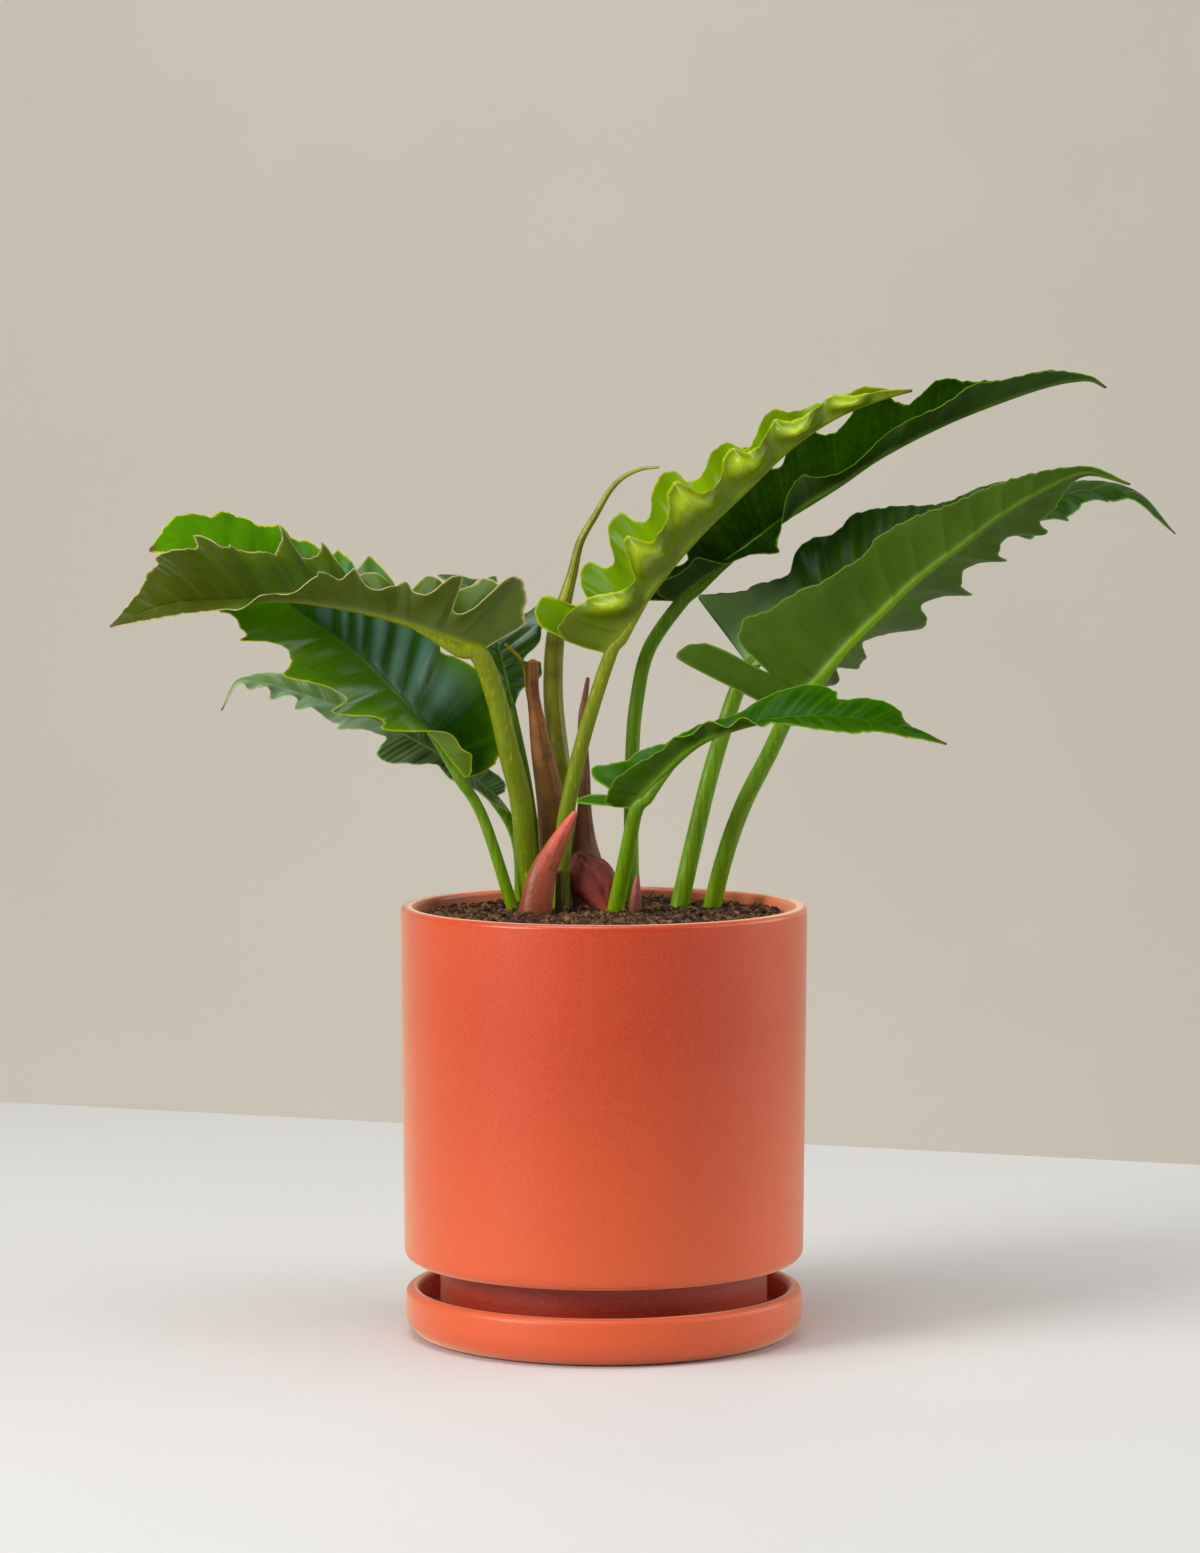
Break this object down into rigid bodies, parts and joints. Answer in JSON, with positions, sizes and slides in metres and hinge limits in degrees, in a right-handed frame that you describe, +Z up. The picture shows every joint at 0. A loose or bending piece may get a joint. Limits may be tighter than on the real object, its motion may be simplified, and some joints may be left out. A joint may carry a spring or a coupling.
{
  "type": "potted philodendron plant",
  "caption": "Leafy philodendron with long deeply toothed arching leaves on upright stalks, in a tall round clay pot on its saucer.",
  "frame": {"origin": "on the pot's axis, on the flat underside of the saucer", "axes": "+Z up along the pot's axis, +X to the right along the plant's widest spread, -Y the front"},
  "size_m": [0.5301, 0.203, 0.4818],
  "materials": {
    "clay": "satin",
    "potting_mix": "matte",
    "leaf_olive": "satin",
    "leaf_dark": "gloss",
    "leaf_grey": "satin",
    "leaf_young": "gloss",
    "leaf_mid": "satin",
    "stalk_green": "satin",
    "stalk_olive": "satin",
    "sheath_brown": "matte",
    "sheath_pink": "satin",
    "curl_yellow": "matte"
  },
  "bodies": {
    "root": {"saucer": "clay", "pot": "clay", "soil": "potting_mix", "blade_left_front": "leaf_olive", "stalk_left_front": "stalk_olive", "blade_left_broad": "leaf_dark", "stalk_left_broad": "stalk_green", "blade_left_low": "leaf_grey", "stalk_left_low": "stalk_green", "blade_back_small": "leaf_dark", "stalk_back_small": "stalk_green", "blade_centre_young": "leaf_young", "stalk_centre_young": "stalk_olive", "blade_back_tall": "leaf_dark", "stalk_back_tall": "stalk_green", "blade_right_front": "leaf_mid", "stalk_right_front": "stalk_green", "blade_right_back": "leaf_dark", "stalk_right_back": "stalk_green", "blade_right_low": "leaf_mid", "stalk_right_low": "stalk_green", "rolled_new_leaf": "stalk_olive", "sheath_brown": "sheath_brown", "sheath_pink_front": "sheath_pink", "sheath_red_back": "sheath_brown", "bract_pink": "sheath_pink", "sheath_pink_small": "sheath_pink", "stub_green": "stalk_olive", "curl_yellow": "curl_yellow"}
  },
  "joints": []
}
